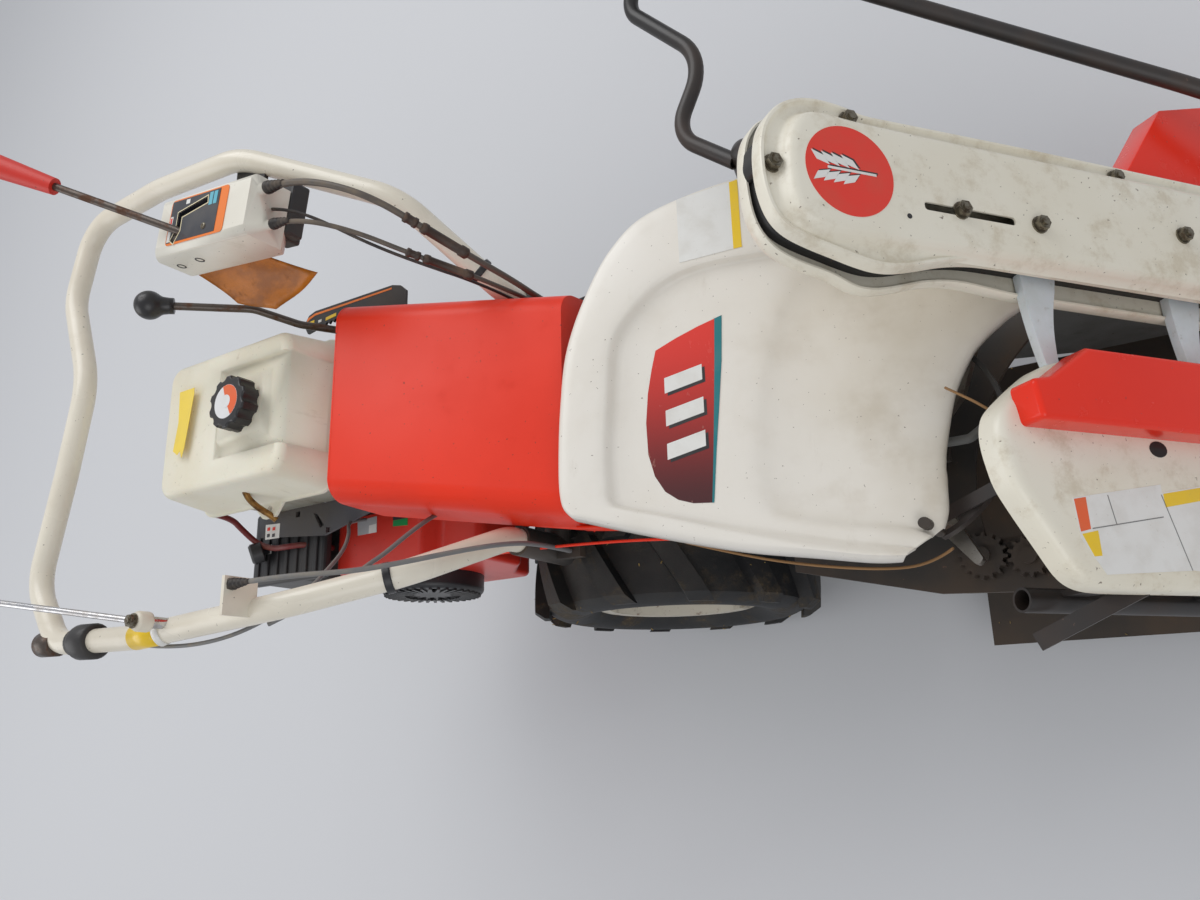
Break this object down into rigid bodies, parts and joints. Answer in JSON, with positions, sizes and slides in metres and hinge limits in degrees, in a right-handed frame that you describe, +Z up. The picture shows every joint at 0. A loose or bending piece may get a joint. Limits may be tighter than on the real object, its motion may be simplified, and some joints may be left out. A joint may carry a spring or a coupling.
{
  "type": "walk-behind reaper binder",
  "caption": "Walk-behind machine that cuts a crop row, lifts it with a lugged raising case, ties it and throws the bundle out sideways.",
  "frame": {"origin": "on the ground below the middle of the machine's outline", "axes": "+X forward, the way the machine cuts, +Y to its left, +Z up"},
  "size_m": [1.8771, 0.8698, 0.987],
  "materials": {
    "cover_white": "semi-gloss warm off-white paint, dusty",
    "case_white": "semi-gloss off-white paint, scuffed",
    "hood_red": "gloss orange-red paint",
    "guard_red": "gloss red paint",
    "tank_cream": "moulded cream plastic",
    "tube_ivory": "ivory paint, worn",
    "box_white": "moulded off-white plastic",
    "black_plastic": "black moulded plastic",
    "black_paint": "black paint with rust at the edges",
    "dark_steel": "dark grimy steel",
    "grey_cast": "cast aluminium, oily",
    "bare_steel": "bare steel, lightly rusted",
    "nylon_white": "natural nylon",
    "rim_white": "off-white paint, muddy",
    "tyre_black": "ribbed rubber with dry soil",
    "grip_red": "red rubbery plastic",
    "hose_red": "dark red fuel hose",
    "cable_black": "black cable cover, dusty",
    "cable_grey": "grey cable cover",
    "brown_iron": "rusty exhaust steel"
  },
  "bodies": {
    "chassis": {"axle": "bare_steel", "gearbox": "grey_cast", "engine_frame": "dark_steel", "engine_block": "grey_cast", "fan_shroud": "guard_red", "recoil_starter": "black_plastic", "starter_grip": "black_plastic", "belt_cover": "black_paint", "muffler": "brown_iron", "air_cleaner": "black_plastic", "tank_bracket": "dark_steel", "fuel_tank": "tank_cream", "fuel_cap": "black_plastic", "hood": "hood_red", "hood_stay": "dark_steel", "knotter_cover": "cover_white", "drive_case": "grey_cast", "cutter_beam": "dark_steel", "knife": "bare_steel", "platform": "dark_steel", "knotter_deck": "dark_steel", "cover_posts": "dark_steel", "knotter_shaft": "bare_steel", "knotter": "grey_cast", "bundle_guide": "black_paint", "knotter_gears": "bare_steel", "needle": "bare_steel", "case_front": "case_white", "case_rear": "case_white", "raising_lugs": "nylon_white", "left_divider": "guard_red", "right_divider": "guard_red", "left_skid": "dark_steel", "right_skid": "dark_steel", "right_guard": "guard_red", "right_cover": "cover_white", "right_frame": "black_paint", "bundle_springs": "black_paint", "left_guard": "guard_red", "left_post": "black_paint", "guard_rail": "black_paint", "handlebar": "tube_ivory", "handle_mount": "black_paint", "fuel_hose": "hose_red", "upper_box_cable": "cable_black", "lower_box_cable": "cable_black", "side_cable": "cable_grey", "side_lever": "bare_steel", "control_box": "box_white", "control_bracket": "black_paint", "clutch_lever": "bare_steel", "clutch_grip": "grip_red", "shift_lever": "bare_steel", "shift_gate": "black_paint"},
    "wheel_left": {"rim_left": "rim_white", "tyre_left": "tyre_black"},
    "wheel_right": {"rim_right": "rim_white", "tyre_right": "tyre_black"},
    "star": {"star_wheel": "nylon_white"},
    "thrower": {"discharge_arms": "bare_steel"}
  },
  "joints": [
    {"name": "wheel_left_turn", "type": "hinge", "parent": "chassis", "child": "wheel_left", "pos_m": [-0.25136, 0.01308, 0.206], "axis": [0, 1, 0], "continuous": true},
    {"name": "wheel_right_turn", "type": "hinge", "parent": "chassis", "child": "wheel_right", "pos_m": [-0.25136, -0.25092, 0.206], "axis": [0, 1, 0], "continuous": true},
    {"name": "star_turn", "type": "hinge", "parent": "chassis", "child": "star", "pos_m": [0.44204, -0.23792, 0.27236], "axis": [0.7986, 0, 0.6018], "continuous": true},
    {"name": "thrower_turn", "type": "hinge", "parent": "chassis", "child": "thrower", "pos_m": [0.14864, -0.19792, 0.365], "axis": [0, 0, 1], "continuous": true}
  ]
}
